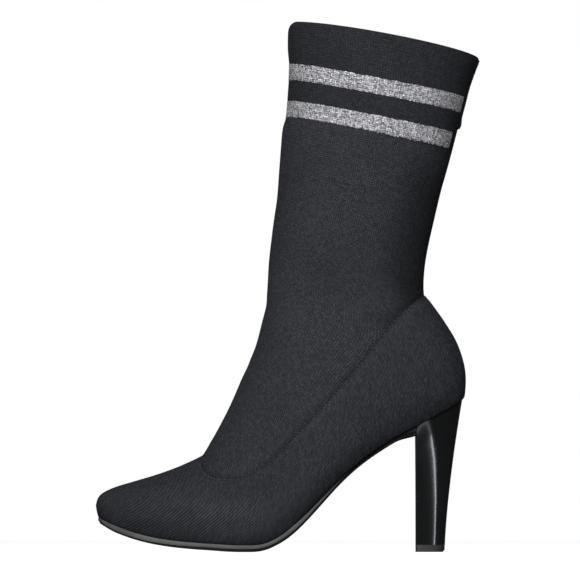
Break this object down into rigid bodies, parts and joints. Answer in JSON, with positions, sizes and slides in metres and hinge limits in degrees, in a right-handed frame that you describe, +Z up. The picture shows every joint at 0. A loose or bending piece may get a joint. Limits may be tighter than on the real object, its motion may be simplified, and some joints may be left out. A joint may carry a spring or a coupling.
{
  "type": "sock boot",
  "caption": "Knitted pull-on sock boot on a high slim heel, with glitter stripes below a slanted collar, hollow from the collar to the toe.",
  "frame": {"origin": "middle of the heel tip's face on the floor", "axes": "-X towards the toe, +X behind the heel; -Y towards the outer side of the left foot; +Z up, floor at z = 0"},
  "size_m": [0.2309, 0.0834, 0.3162],
  "materials": {
    "knit": "dark charcoal elastic knit, matt",
    "glitter_knit": "silver metallic yarn, glittering",
    "sock_lining": "black textile lining",
    "sole_rubber": "black moulded rubber, satin, grey at its upper edge",
    "heel_gloss": "black, high gloss",
    "tip_rubber": "black, matt"
  },
  "bodies": {
    "root": {"upper": "knit", "glitter_band_upper": "glitter_knit", "glitter_band_lower": "glitter_knit", "insole": "sock_lining", "outsole": "sole_rubber", "heel": "heel_gloss", "heel_tip": "tip_rubber"}
  },
  "joints": []
}
